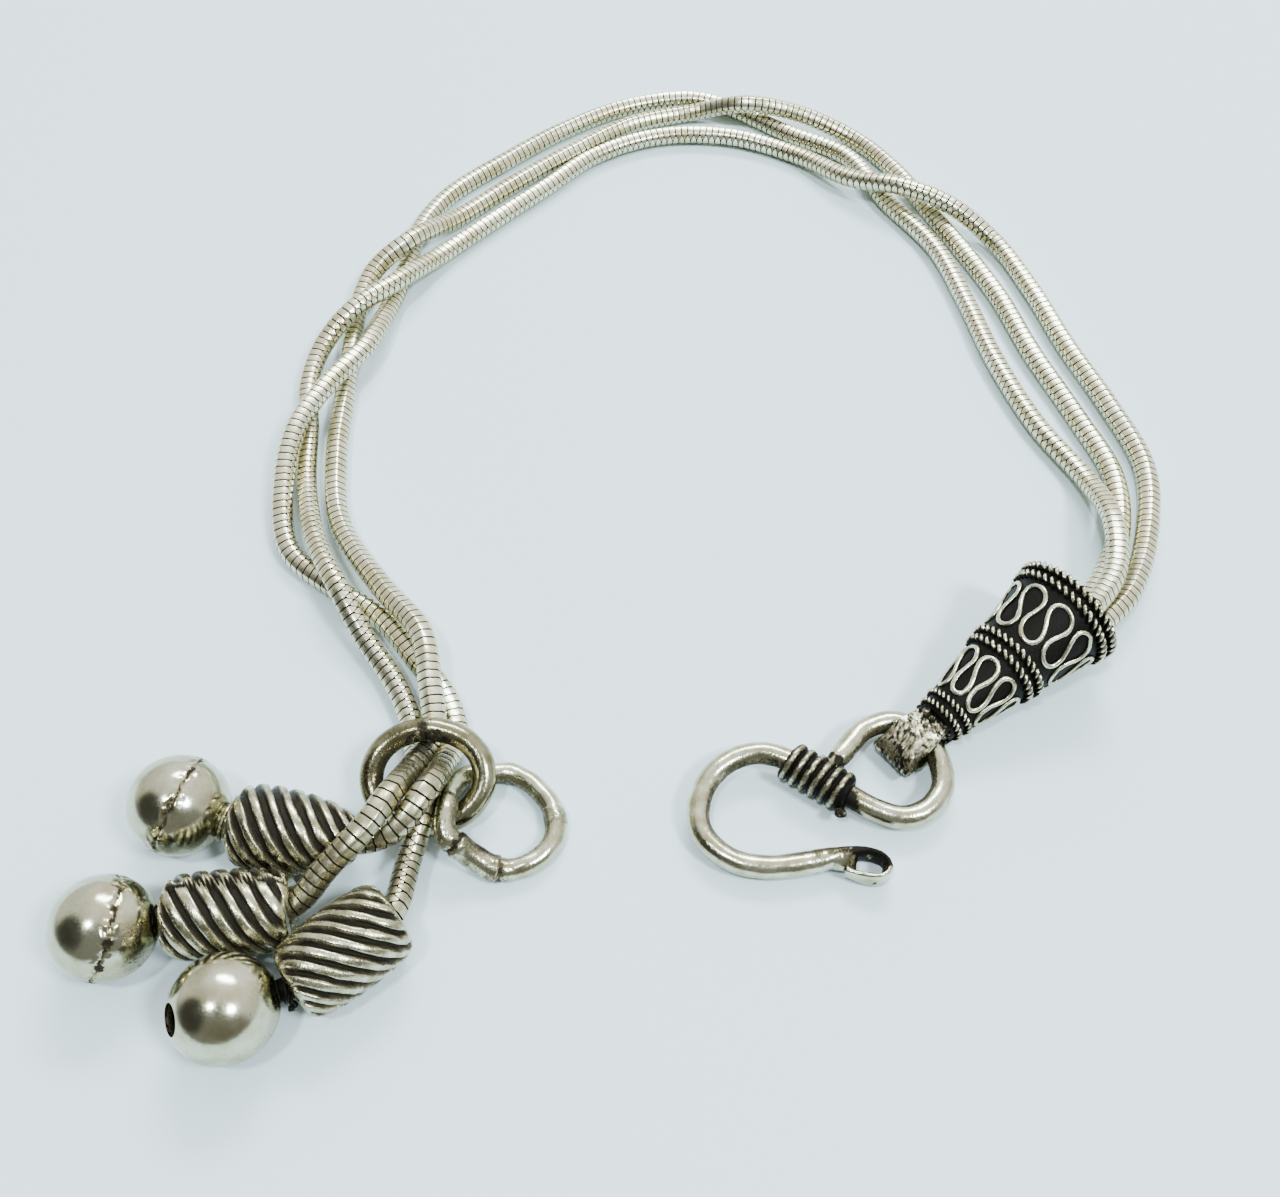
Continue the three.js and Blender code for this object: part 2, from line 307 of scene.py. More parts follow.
world = bpy.data.worlds.new("studio")
world.use_nodes = True
scene.world = world
tree = world.node_tree
tree.nodes.clear()
direction = addNode(tree, "TexCoord").outputs["Generated"]
skyColour = linear(studio["sky"])
for shade in studio["shades"]:
    toShade = addNode(tree, "VectorMath", {"operation": "DOT_PRODUCT"}, {
        0: direction, 1: Vector(shade["from"]).normalized()})
    inShade = addNode(tree, "MapRange", {"interpolation_type": "SMOOTHSTEP"}, {
        "Value": toShade.outputs["Value"], "From Min": shade["outer"], "From Max": shade["inner"]})
    shadeColour = [part * shade["strength"] for part in linear(shade["colour"])]
    skyColour = addNode(tree, "Mix", {"data_type": "RGBA"}, {
        "Factor": inShade.outputs["Result"], 6: skyColour, 7: shadeColour}).outputs[2]
skyLight = addNode(tree, "Background", None, {"Color": skyColour, "Strength": studio["skyStrength"]})
addNode(tree, "OutputWorld", None, {"Surface": skyLight.outputs[0]})

for look in studio["lamps"]:
    light = bpy.data.lights.new("lamp", "AREA")
    light.shape = "ELLIPSE"
    light.size, light.size_y = look["size"][0] * mm, look["size"][1] * mm
    light.energy = look["power"]
    light.color = linear(studio["lampColour"])[:3]
    lamp = newObject("lamp", light)
    lamp.location = Vector(look["place"]) * mm
    lamp.rotation_euler = (-lamp.location).to_track_quat("-Z", "Y").to_euler()


# finishes: one recipe for silver, with its own values for each way it was worked

silverLook = {  # what most of them share; sizes in mm, coarser than real grain and scratches so that they show
    "oxide": "#17140e", "oxideMetal": 0.1, "oxideRoughness": 0.5, "grainSize": 0.14, "scratchSize": 0.08,
    "scratchTurn": (0.5, 0.1, 0.2), "scratchDepth": 0.9, "roughnessSpread": 0.08, "bump": 0.3, "bumpHeight": 0.03,
}


def silver(name, look):
    look = {**silverLook, **look}
    material = bpy.data.materials.new(name)
    material.use_nodes = True
    tree = material.node_tree
    tree.nodes.clear()
    place = addNode(tree, "TexCoord").outputs["Object"]
    patinaAndShade = addNode(tree, "Attribute", {"attribute_name": "patinaAndShade"}).outputs["Fac"]
    cloud = addNode(tree, "TexNoise", None, {
        "Vector": place, "Scale": 1 / (look["cloudSize"] * mm), "Detail": 3})
    grain = addNode(tree, "TexNoise", None, {
        "Vector": place, "Scale": 1 / (look["grainSize"] * mm), "Detail": 3, "Roughness": 0.6})
    fine = 1 / (look["scratchSize"] * mm)
    drawn = addNode(tree, "Mapping", None, {
        "Vector": place, "Rotation": look["scratchTurn"], "Scale": (fine, 0.12 * fine, fine)})  # long, thin scratches
    scratches = addNode(tree, "TexNoise", None, {"Vector": drawn.outputs[0], "Scale": 1, "Detail": 2})

    # colour: cloudy silver, browner where there is some patina or painted shade, and black where there is much
    warmth = addNode(tree, "MapRange", None, {
        "Value": cloud.outputs["Fac"], "From Min": 0.38, "From Max": 0.66})
    metal = addNode(tree, "Mix", {"data_type": "RGBA"}, {
        "Factor": warmth.outputs[0], 6: linear(look["bright"]), 7: linear(look["warm"])})
    broken = addNode(tree, "Math", {"operation": "MULTIPLY_ADD"}, {
        0: grain.outputs["Fac"], 1: look["ragged"], 2: patinaAndShade})
    middle = look["ragged"] / 2
    mask = addNode(tree, "MapRange", {"interpolation_type": "SMOOTHSTEP"}, {
        "Value": broken.outputs[0], "From Min": 0.5 - look["soft"] + middle, "From Max": 0.5 + look["soft"] + middle})
    browned = addNode(tree, "MapRange", {"interpolation_type": "SMOOTHSTEP"}, {
        "Value": broken.outputs[0], "From Min": 0.08 + middle, "From Max": 0.5 + middle})
    tarnished = addNode(tree, "Mix", {"data_type": "RGBA"}, {
        "Factor": browned.outputs[0], 6: metal.outputs[2], 7: linear(look["tarnish"])})
    colour = addNode(tree, "Mix", {"data_type": "RGBA"}, {
        "Factor": mask.outputs[0], 6: tarnished.outputs[2], 7: linear(look["oxide"])})

    # gloss and relief: the oxide is duller, less of a metal, and rougher to the touch
    gloss = addNode(tree, "MapRange", None, {
        "Value": grain.outputs["Fac"], "From Min": 0.3, "From Max": 0.7,
        "To Min": look["roughness"] - look["roughnessSpread"], "To Max": look["roughness"] + look["roughnessSpread"]})
    dulled = addNode(tree, "Mix", {"data_type": "FLOAT"}, {
        "Factor": mask.outputs[0], 2: gloss.outputs[0], 3: look["oxideRoughness"]})
    height = addNode(tree, "Math", {"operation": "MULTIPLY_ADD"}, {
        0: scratches.outputs["Fac"], 1: look["scratchDepth"], 2: grain.outputs["Fac"]})
    rougher = addNode(tree, "MapRange", None, {
        "Value": patinaAndShade, "To Min": look["bump"], "To Max": min(1, 3 * look["bump"])})
    bump = addNode(tree, "Bump", None, {
        "Strength": rougher.outputs[0], "Distance": look["bumpHeight"] * mm, "Height": height.outputs[0]})
    metallic = addNode(tree, "MapRange", None, {
        "Value": mask.outputs[0], "To Min": 1, "To Max": look["oxideMetal"]})
    surface = addNode(tree, "BsdfPrincipled", None, {
        "Base Color": colour.outputs[2], "Metallic": metallic.outputs[0], "Roughness": dulled.outputs[0],
        "Normal": bump.outputs[0], "Specular IOR Level": 0.08})
    addNode(tree, "OutputMaterial", None, {"Surface": surface.outputs[0]})
    return material


# snake chain: stamped sterling plates, tumbled bright, so each plate glints and the slits stay black with old oxide and
# painted shade
chainSilver = silver("sterling silver snake chain", {
    "bright": "#dfdcc0", "warm": "#cac29c", "tarnish": "#928969", "oxide": "#1e1c16", "cloudSize": 2.4,
    "grainSize": 0.16, "scratchSize": 0.07, "scratchTurn": (0.3, 0.2, 0.5), "scratchDepth": 0.8, "ragged": 0.3,
    "soft": 0.2, "roughness": 0.3, "roughnessSpread": 0.06, "bump": 0.25, "bumpHeight": 0.02})
# polished sterling, worn: a clear reflection with fine rub marks and brown tarnish in the seams
polishedSilver = silver("polished sterling silver", {
    "bright": "#bfbfa8", "warm": "#a5a080", "tarnish": "#857a5b", "oxide": "#241f15", "oxideMetal": 0.3,
    "oxideRoughness": 0.45, "cloudSize": 1.6, "grainSize": 0.13, "scratchSize": 0.06, "scratchTurn": (0.2, 0.9, 0.4),
    "scratchDepth": 0.6, "ragged": 1.3, "soft": 0.2, "roughness": 0.17, "roughnessSpread": 0.05, "bump": 0.14,
    "bumpHeight": 0.02})
# hand-forged sterling wire: streaky and a little lumpy, with black fire stain left in the hollows, and painted shade on
# the inner sides of its bends and in the hook's curl
wireLook = {"oxideMetal": 0.2, "grainSize": 0.16, "scratchSize": 0.1, "scratchTurn": (0.1, 0.3, 0.9),
            "scratchDepth": 1.2, "ragged": 1.0, "soft": 0.3}
forgedSilver = silver("hand forged sterling silver", {
    **wireLook, "bright": "#c9c9b0", "warm": "#a29d7d", "tarnish": "#756d52", "cloudSize": 1.1, "roughness": 0.2})
# sterling wire gone olive brown all over from years of handling, rubbed lighter only in streaks
tarnishedSilver = silver("tarnished sterling silver", {
    **wireLook, "bright": "#9a967b", "warm": "#746f52", "tarnish": "#5a533b", "cloudSize": 1.3,
    "roughness": 0.19, "roughnessSpread": 0.07, "bump": 0.22})
# silver blackened with liver of sulphur and rubbed back: bright on the ribs and wires, brown black in the hollows
blackenedSilver = silver("blackened and rubbed sterling silver", {
    "bright": "#d6d5bd", "warm": "#b0ab8b", "tarnish": "#7c745a", "oxide": "#0e0c08", "cloudSize": 0.7,
    "ragged": 0.8, "soft": 0.25, "roughness": 0.26, "roughnessSpread": 0.07})
# the same on cast beads: greyer ribs, and browner, softer hollows
rubbedSilver = silver("blackened cast silver", {
    "bright": "#c6c4aa", "warm": "#958f70", "tarnish": "#655d45", "oxide": "#1b1811", "cloudSize": 0.6,
    "ragged": 0.6, "soft": 0.38, "roughness": 0.25, "bump": 0.35})


# the three snake chains

print("snake chains")
chain = {
    "pitch": 0.6, "crown": 0.0175, "wall": 0.84, "core": 0.68, "sharp": 33, "facet": 24,
    "outline": [(0, 0.8), (0.1, 0.785), (0.62, 0.5), (0.785, 0.24), (0.8, -0.12)],  # half a plate: across, up
    "halfLength": [0.242, 0.242, 0.242, 0.236, 0.05],
    "platesCutOff": 7,  # at the end of the row, inside the bead
    "tailShade": 0.34, "tailShadeFrom": -26, "tailShadeTo": -30,  # painted shade: the tails are darker, nearer than this
}
strandRoutes = {
    "strand_a": [
        (23.5, -20, 4.4), (26.4, -18.2, 4.2), (28.8, -16.1, 3.5), (30.9, -13, 3.1), (31.8, -8.4, 2.8),
        (31.4, -3.3, 1.2), (28.7, 2.8, 0.9), (26.6, 9.9, 0.9), (25.3, 17.1, 0.8), (23.5, 24.2, 0.9),
        (20, 30.6, 0.8), (17, 37.1, 0.9), (11.6, 41, 0.8), (7.3, 44.3, 0.8), (2.9, 46.3, 0.9),
        (-3.7, 45.1, 0.9), (-9.8, 41.3, 0.9), (-15.2, 36.4, 0.9), (-20, 31.4, 0.8), (-22.2, 26.4, 0.9),
        (-22.9, 21.4, 0.8), (-23.7, 16.3, 1), (-24.8, 10.3, 2.2), (-27.1, 5.5, 2.7), (-28.9, 1, 2.6),
        (-29.3, -4.1, 1.7), (-28.1, -9.7, 0.9), (-24.4, -13, 0.8), (-20.4, -16, 0.8), (-17.9, -19.1, 0.9),
        (-15.7, -22, 0.8), (-14.6, -25.1, 1.1), (-15, -27.9, 2.3), (-15.7, -31, 4.4), (-17.6, -33.3, 3.6),
        (-20.1, -33.5, 2.6), (-22.9, -33, 2.5), (-25.6, -32.6, 2.6), (-28.4, -32.1, 2.7), (-31, -31.3, 3.1)],
    "strand_b": [
        (24.2, -20.2, 2.7), (27.1, -18.9, 2.7), (29.4, -16.9, 2.1), (32.1, -14, 1.7), (34.7, -8.6, 1.1),
        (36.2, -1.7, 0.9), (34.8, 5, 0.9), (32.8, 11.6, 0.9), (31.2, 18.2, 0.9), (29, 24.5, 1),
        (25.2, 28, 2.4), (21, 30.2, 2.8), (16.8, 32.7, 1.8), (12.4, 37.3, 0.9), (6.3, 40.2, 0.9),
        (-0.6, 40.3, 0.9), (-6.6, 37.4, 0.9), (-11.3, 32.4, 0.9), (-16, 27.4, 0.9), (-20.1, 22.5, 1.2),
        (-23.1, 17.6, 2.6), (-26.3, 14, 2.7), (-28.5, 11, 1.5), (-29.2, 7, 0.9), (-28.5, 2.4, 0.9),
        (-27.8, -3.4, 0.9), (-25.9, -9.8, 2.1), (-23.6, -14.3, 2.6), (-21.4, -17.9, 1.5), (-19.2, -21, 1.1),
        (-17.8, -23.8, 0.9), (-17.1, -26.5, 0.8), (-16.4, -29, 1.1), (-16, -31.2, 2.7), (-16.7, -34.8, 2),
        (-17.3, -38.3, 2.6), (-19.2, -39.9, 2.5), (-21.2, -41.6, 2.4), (-23.5, -42.9, 2.6), (-25.9, -43.9, 3.1)],
    "strand_c": [
        (23.3, -18.9, 2), (26, -17.1, 1.8), (28.7, -14.9, 1.5), (31, -11.8, 1.2), (33, -7.5, 0.9),
        (33.6, -2.4, 0.9), (32, 3.9, 0.8), (29.8, 10.8, 0.9), (28.1, 17.8, 0.9), (25.7, 24.6, 0.8),
        (23.4, 30.2, 0.8), (21.4, 34.8, 0.9), (18.2, 39.6, 0.9), (12.9, 42.4, 1.9), (7.7, 43, 2.6),
        (2.8, 44.1, 1), (-3.2, 42.3, 0.9), (-8.9, 37.9, 0.9), (-14.2, 33, 0.9), (-18.8, 28.1, 1),
        (-22.4, 23.1, 2.6), (-25.4, 20.1, 1.6), (-26.4, 16, 0.9), (-26.3, 11.1, 0.9), (-26.2, 6.1, 0.8),
        (-26, 0.1, 0.9), (-24.8, -7, 0.9), (-20.9, -13.5, 1.9), (-17.4, -18.2, 2.8), (-16.5, -21.9, 2.5),
        (-16, -25.4, 2), (-17, -28.6, 2.9), (-17.7, -31.3, 4.8), (-19.1, -33.8, 4.9), (-21.2, -35.8, 3.8),
        (-23, -37.5, 2.7), (-25.5, -38, 2.6), (-28.4, -38.2, 2.6), (-31.1, -38.5, 2.7), (-33.8, -39.2, 3.1)],
}
# how far each chain is rolled, in degrees, at places from the cone (0) to the ball (1)
strandRolls = {
    "strand_a": [(0, 20), (0.2, 40), (0.4, 15), (0.55, -30), (0.7, 20), (0.8, 60), (0.9, 10), (1, 0)],
    "strand_b": [(0, -10), (0.1, 0), (0.3, 30), (0.5, 10), (0.7, 40), (0.82, 70), (0.9, 82), (1, 82)],
    "strand_c": [(0, 0), (0.2, 20), (0.4, -10), (0.6, -30), (0.76, -17), (0.82, 0), (0.86, 13), (0.91, -38), (1, -38)],
}


def linkTemplate():
    # one plate from a grid, folded to half the chain's outline, and a second one turned under it half a pitch on
    last = len(chain["outline"]) - 1
    bm = bmesh.new()
    bmesh.ops.create_grid(bm, x_segments=2, y_segments=2 * last, size=1)
    for v in bm.verts:
        station = abs(round(v.co.y * last))
        across, height = chain["outline"][station]
        swell = 1 + (chain["crown"] if abs(v.co.x) < 0.5 else 0)
        side = 1 if v.co.y > 0 else -1
        v.co = Vector((v.co.x * chain["halfLength"][station], side * across * swell, height * swell)) * mm
    layer = patinaAndShadeLayer(bm)
    rim = bmesh.ops.extrude_edge_only(bm, edges=[e for e in bm.edges if e.is_boundary])
    inner = vertsOf(rim)
    bmesh.ops.scale(bm, vec=(1, chain["wall"], chain["wall"]), verts=inner)
    for v in inner:
        v[layer] = 1  # the slits between the plates are black inside: oxide, and painted shade
    bmesh.ops.recalc_face_normals(bm, faces=bm.faces)
    twin = bmesh.ops.duplicate(bm, geom=bm.verts[:] + bm.edges[:] + bm.faces[:])
    turned = vertsOf(twin)
    bmesh.ops.rotate(bm, cent=(0, 0, 0), matrix=Matrix.Rotation(pi, 3, "X"), verts=turned)
    bmesh.ops.translate(bm, vec=(chain["pitch"] * mm / 2, 0, 0), verts=turned)
    bmesh.ops.translate(bm, vec=(chain["pitch"] * mm / 2, 0, 0), verts=bm.verts)
    return bm


def rollsAlong(line, turns):
    reach, rolls = reachAlong(line), []
    for done in reach:
        along = done / reach[-1]
        for (start, low), (end, high) in zip(turns, turns[1:]):
            if start <= along <= end:
                roll = low + (high - low) * smoothStep(start, end, along)
        rolls.append(radians(roll))
    return rolls


for name, points in strandRoutes.items():
    line = smoothRoute(points, 14)
    length = reachAlong(line)[-1]
    mesh = meshOf(name, linkTemplate())
    mesh.set_sharp_from_angle(angle=radians(chain["facet"]))  # flat facets either side of the ridge
    links = newObject(name, mesh)
    row = links.modifiers.new("row", "ARRAY")
    row.count = int(length / (chain["pitch"] * mm)) - chain["platesCutOff"]
    row.use_relative_offset = False
    row.use_constant_offset = True
    row.constant_offset_displace = (chain["pitch"] * mm, 0, 0)
    route = routeObject(line, rollsAlong(line, strandRolls[name]))
    bend = links.modifiers.new("bend", "CURVE")
    bend.object = route
    plates = shapeOf(links)
    # painted shade: a black tube inside the plates, so that the slits show dark
    route.data.bevel_depth = chain["core"] * mm
    route.data.bevel_resolution = 2
    core = shapeOf(route)
    blacken(core)
    print(name, "length", round(length / mm, 1), "faces", len(plates.faces) + len(core.faces))
    layer = patinaAndShadeLayer(plates)
    # painted shade along the tails, with a little uneven patina everywhere
    for v in plates.verts:
        tailShade = smoothStep(chain["tailShadeFrom"], chain["tailShadeTo"], v.co.y / mm)
        v[layer] = max(v[layer], chain["tailShade"] * tailShade + 0.1 * lumpy(v.co, 1.2))
    addPiece(name + "_links", joined([plates, core]), chainSilver, [name],
             sharp=chain["sharp"], turnedOut=False)


# fluted beads: turned, then twisted, so the black flutes run round them as screws with several starts

print("fluted beads")
flute = {
    "depth": 0.34, "edge": 0.055, "crown": 0.04, "wander": 0.1, "flank": 0.2, "flankPatina": 0.36,
    "bore": 0.95, "boreWithin": 1.25, "rings": 8, "slip": 0.45,
}
# outline: radius in mm, and place as a part of the length between near and far
flutedBeads = [
    {"near": (-21, -33.3, 2.5), "far": (-27.6, -32.3, 2.62), "starts": 9, "lead": 10.4,
     "groove": 0.45, "samples": 16, "turn": 0, "seam": None,
     "outline": [(1.1, -0.17), (1.35, -0.15), (1.62, -0.08), (2.0, 0.04), (2.32, 0.2), (2.55, 0.4),
                 (2.66, 0.6), (2.66, 0.76), (2.46, 0.89), (2.05, 0.96), (1.4, 1)]},
    {"near": (-23.5, -37.8, 2.58), "far": (-30.3, -38.4, 2.65), "starts": 8, "lead": 9.1,
     "groove": 0.42, "samples": 20, "turn": 10, "seam": 114,
     "outline": [(1.3, -0.06), (1.95, -0.05), (2.3, 0.02), (2.5, 0.18), (2.58, 0.48), (2.54, 0.78),
                 (2.4, 0.93), (2.05, 1.0), (1.2, 1.03)]},
    {"near": (-17, -38.1, 2.62), "far": (-22.3, -42.4, 2.55), "starts": 12, "lead": 13,
     "groove": 0.38, "samples": 11, "turn": 0, "seam": None,
     "outline": [(1.3, 0), (2.05, 0.02), (2.45, 0.1), (2.63, 0.27), (2.68, 0.5), (2.63, 0.72),
                 (2.48, 0.88), (2.25, 0.97), (1.95, 1.02), (1.3, 1.04)]},
]
for number, bead in enumerate(flutedBeads, 1):
    length = (Vector(bead["far"]) - Vector(bead["near"])).length
    outer = smoothRoute([(radius, 0, along * length) for radius, along in bead["outline"]], flute["rings"])
    inner = profileOf([(flute["bore"], length - 0.4), (flute["bore"], 0.4)])
    bm = spun(outer + inner, bead["starts"] * bead["samples"])
    layer = patinaAndShadeLayer(bm)
    begin, end, half = bead["outline"][0][1], bead["outline"][-1][1], bead["groove"] / 2
    for v in bm.verts:
        radius, angle, along = fromAxis(v.co), atan2(v.co.y, v.co.x), v.co.z / mm / length
        if radius < flute["boreWithin"] * mm:
            v[layer] = 1
            continue
        wander = flute["wander"] * lumpy(v.co, 1.1) + 0.4 * flute["wander"] * lumpy(v.co, 0.35)
        turned = angle + 2 * pi * along * length / bead["lead"] + radians(bead["turn"])
        pastSeam = ((turned - radians(bead["seam"])) / (2 * pi)) % 1 if bead["seam"] else 1
        slip = flute["slip"] if 0 < pastSeam < 0.5 else 0  # the pattern doesn't meet across a soldered seam
        across = (angle / (2 * pi) * bead["starts"] + wander + slip) % 1
        fromGroove = abs((across + half + 0.5) % 1 - 0.5)
        fade = smoothStep(begin, begin + 0.07, along) * smoothStep(end - 0.01, end - 0.08, along)
        cut = smoothStep(half + flute["edge"], half - flute["edge"], fromGroove) * fade
        swell = flute["crown"] * sin(pi * min(1, across / (1 - bead["groove"]))) * fade
        v.co.xy *= 1 + (swell - flute["depth"] * cut) * mm / radius
        flank = smoothStep(half + flute["flank"], half, fromGroove) * fade
        v[layer] = max(cut, flute["flankPatina"] * flank) + 0.35 * lumpy(v.co, 0.5) + 0.2 * lumpy(v.co, 0.15)
        if bead["seam"]:
            offSeam = ((pastSeam + 0.5) % 1 - 0.5) * 2 * pi * radius / mm
            lip = smoothStep(0.26, 0.1, abs(offSeam - 0.26))
            crack = smoothStep(0.16, 0.09, abs(offSeam))
            v[layer] = max(v[layer] * (1 - lip), 1.4 * crack * fade)
            v.co.xy *= 1 + (lip * max(0.1, flute["depth"] * cut) - 0.2 * crack) * fade * mm / radius
    for v in bm.verts:
        v.co = Matrix.Rotation(2 * pi * v.co.z / mm / bead["lead"] + radians(bead["turn"]), 3, "Z") @ v.co
    standAlong(bm, bead["near"], bead["far"])
    roughen(bm, 0.5, 0.03, number)
    for v in bm.verts:  # worn level where it lies on the table
        v.co.z = max(v.co.z, 0)
    addPiece("bead_%d_fluted" % number, bm, rubbedSilver, ["fluted_bead_%d" % number])


# hollow balls, each of two pressed halves soldered at the middle and drilled through

print("balls")
ballLook = {
    "radius": 3.12, "wall": 0.4, "bore": 0.92, "dent": 0.012, "seamWidth": 0.14, "seamDepth": 0.05, "solder": 0.09,
    "outerRings": 84, "innerRings": 16, "segments": 132, "sharp": 50, "lowPaintedShade": 0.4,
}
# seam: the direction that the seam runs round; spots: direction from the centre, radius in mm, and strength
balls = [
    {"centre": (-31, -31.3, 3.12), "seam": (0.895, -0.287, -0.325), "hole": None, "spots": [
        (0.153, -0.471, 0.867, 0.4, 0.7), (0.21, -0.36, 0.91, 0.25, 0.7), (0.06, -0.6, 0.79, 0.25, 0.6)]},
    {"centre": (-33.8, -39.2, 3.12), "seam": (0.852, 0.014, -0.513), "hole": None, "spots": [
        (0.443, -0.57, 0.69, 0.4, 0.9), (0.263, -0.896, 0.35, 0.35, 0.8), (0.477, 0.042, 0.878, 0.3, 0.7),
        (0.82, -0.3, 0.45, 1.0, 0.35), (0.78, -0.6, 0.2, 0.9, 0.35)]},
    # its outer hole was drilled a little off the line of the thread
    {"centre": (-25.9, -43.9, 3.12), "seam": None, "hole": (-0.79, -0.365, 0.49), "spots": []},
]


def ballArc(radius, steps):
    start = asin(ballLook["bore"] / radius)
    turns = [start + (pi - 2 * start) * i / steps for i in range(steps + 1)]
    return profileOf([(radius * sin(t), -radius * cos(t)) for t in turns])


for number, (bead, ball) in enumerate(zip(flutedBeads, balls), 1):
    radius = ballLook["radius"]
    outer = ballArc(radius, ballLook["outerRings"])
    inner = ballArc(radius - ballLook["wall"], ballLook["innerRings"])
    bm = spun(outer + inner[::-1], ballLook["segments"])
    centre, far = Vector(ball["centre"]), Vector(bead["far"])
    standAlong(bm, centre, 2 * centre - far)
    if ball["hole"]:
        thread, hole = (centre - far).normalized(), Vector(ball["hole"]).normalized()
        for v in bm.verts:
            out = v.co - centre * mm
            near = smoothStep(-0.1, 0.7, out.normalized().dot(thread))
            turn = Matrix.Rotation(thread.angle(hole) * near, 3, thread.cross(hole))
            v.co = centre * mm + turn @ out
    layer = patinaAndShadeLayer(bm)
    roughen(bm, 1.6, ballLook["dent"], number)
    for v in bm.verts:
        out = v.co - centre * mm
        if out.length < (radius - 0.1) * mm:
            v[layer] = 1  # the inside
        elif ball["seam"]:
            off = out.dot(Vector(ball["seam"]).normalized()) / mm
            off = abs(off + 0.13 * lumpy(v.co, 0.5) + 0.08 * lumpy(v.co, 0.16))
            line = smoothStep(ballLook["seamWidth"], ballLook["seamWidth"] * 0.4, off)
            messy = smoothStep(0.7, 0.2, off) * lumpy(v.co, 0.3, 7)  # rough solder beside the seam
            v[layer] = line * (0.55 + 0.6 * lumpy(v.co, 0.6)) + 0.45 * max(0, messy)
            v.co += out.normalized() * ((ballLook["solder"] * messy - line * ballLook["seamDepth"]) * mm)
    for v in bm.verts:  # painted shade: browner and darker low down, where the ball reflects the shadowed floor
        low = smoothStep(0.45, -0.6, (v.co - centre * mm).z / (radius * mm))
        v[layer] += ballLook["lowPaintedShade"] * low + 0.14 * lumpy(v.co, 1.1)
    stainAndShade(bm, [(*(centre + Vector(spot[:3]) * radius), *spot[3:]) for spot in ball["spots"]])
    addPiece("ball_%d_hollow" % number, bm, polishedSilver, ["ball_bead_%d" % number],
             sharp=ballLook["sharp"])


# what shows between each bead and its ball: turns of thin wire round the thread, and black drops of flux
neckLook = {"from": -0.5, "to": 0.9, "thread": 0.62, "blackWithin": 0.68, "wire": 0.1, "wirePoints": 24}
necks = [
    {"turns": 10, "radius": (0.85, 1.3), "patinaAndShade": 0.3, "drops": 0},
    {"turns": 5, "radius": (0.6, 0.8), "patinaAndShade": 0.7, "drops": 1},
    {"turns": 5, "radius": (0.6, 0.8), "patinaAndShade": 0.9, "drops": 5}]
for number, (bead, ball, neck) in enumerate(zip(flutedBeads, balls, necks), 1):
    chance = random.Random(20 + number)
    thread = profileOf([(0, neckLook["from"]), (0, neckLook["to"])])
    parts = [wire(thread, neckLook["thread"], roundness=3, twist="Z_UP")]
    for i in range(neck["turns"]):
        radius, along = chance.uniform(*neck["radius"]), chance.uniform(0.15, 0.55)
        lean, start = chance.uniform(0.02, 0.12), chance.uniform(0, 6)
        turns = [2 * pi * k / neckLook["wirePoints"] for k in range(neckLook["wirePoints"])]
        parts.append(wire([onCircle(radius, turn, along + lean * cos(turn + start)) * mm for turn in turns],
                          neckLook["wire"], closed=True, roundness=2))
    for i in range(neck["drops"]):
        radius, turn = chance.uniform(0.12, 0.22), radians(chance.uniform(-60, 50))  # low on the near side
        x, y = chance.uniform(1.0, 1.45) * cos(turn), chance.uniform(1.0, 1.45) * sin(turn)
        flux = drop((x, y, chance.uniform(0.2, 0.45)), radius)
        roughen(flux, 0.2, 0.08, i)
        parts.append(flux)
    bm = joined(parts)
    layer = patinaAndShadeLayer(bm)
    for v in bm.verts:
        onThread = fromAxis(v.co) < neckLook["blackWithin"] * mm
        v[layer] = 1 if onThread else neck["patinaAndShade"] + 0.5 * lumpy(v.co, 0.3)
    standAlong(bm, bead["far"], ball["centre"])
    addPiece("neck_%d_wire" % number, bm, blackenedSilver)


# the cone cap: a blackened sheet cone, three pairs of twisted wires, and a bent wire winding between them

print("cone cap")
cone = {
    "mouth": (26.5, -17.1, 4.05), "tip": (17.0, -24.6, 1.65), "mouthRadius": 3.8, "tipRadius": 1.4,
    "wall": 0.45, "plug": 2.2, "rings": 40, "segments": 96,
    # twisted wires: place from the mouth, lead of the twist, and thickness of one wire
    "rows": [(0.22, 1.1, 0.18), (0.97, 1.1, 0.18), (5.78, 1.02, 0.17), (6.58, 1.02, 0.17),
             (11.15, 0.76, 0.14), (11.9, 0.76, 0.14)],
    "rowSides": 7, "stepsPerTwist": 9,
    "meanders": [{"low": 1.62, "high": 4.98, "count": 9, "turn": -1.9},
                 {"low": 7.25, "high": 10.55, "count": 8, "turn": -29.7}],
    "meanderWire": 0.17, "meanderPoints": 32, "swing": 114, "lean": 7, "flattened": 0.75,
}
coneLength = (Vector(cone["tip"]) - Vector(cone["mouth"])).length


def coneRadius(along):
    return cone["mouthRadius"] + (cone["tipRadius"] - cone["mouthRadius"]) * along / coneLength


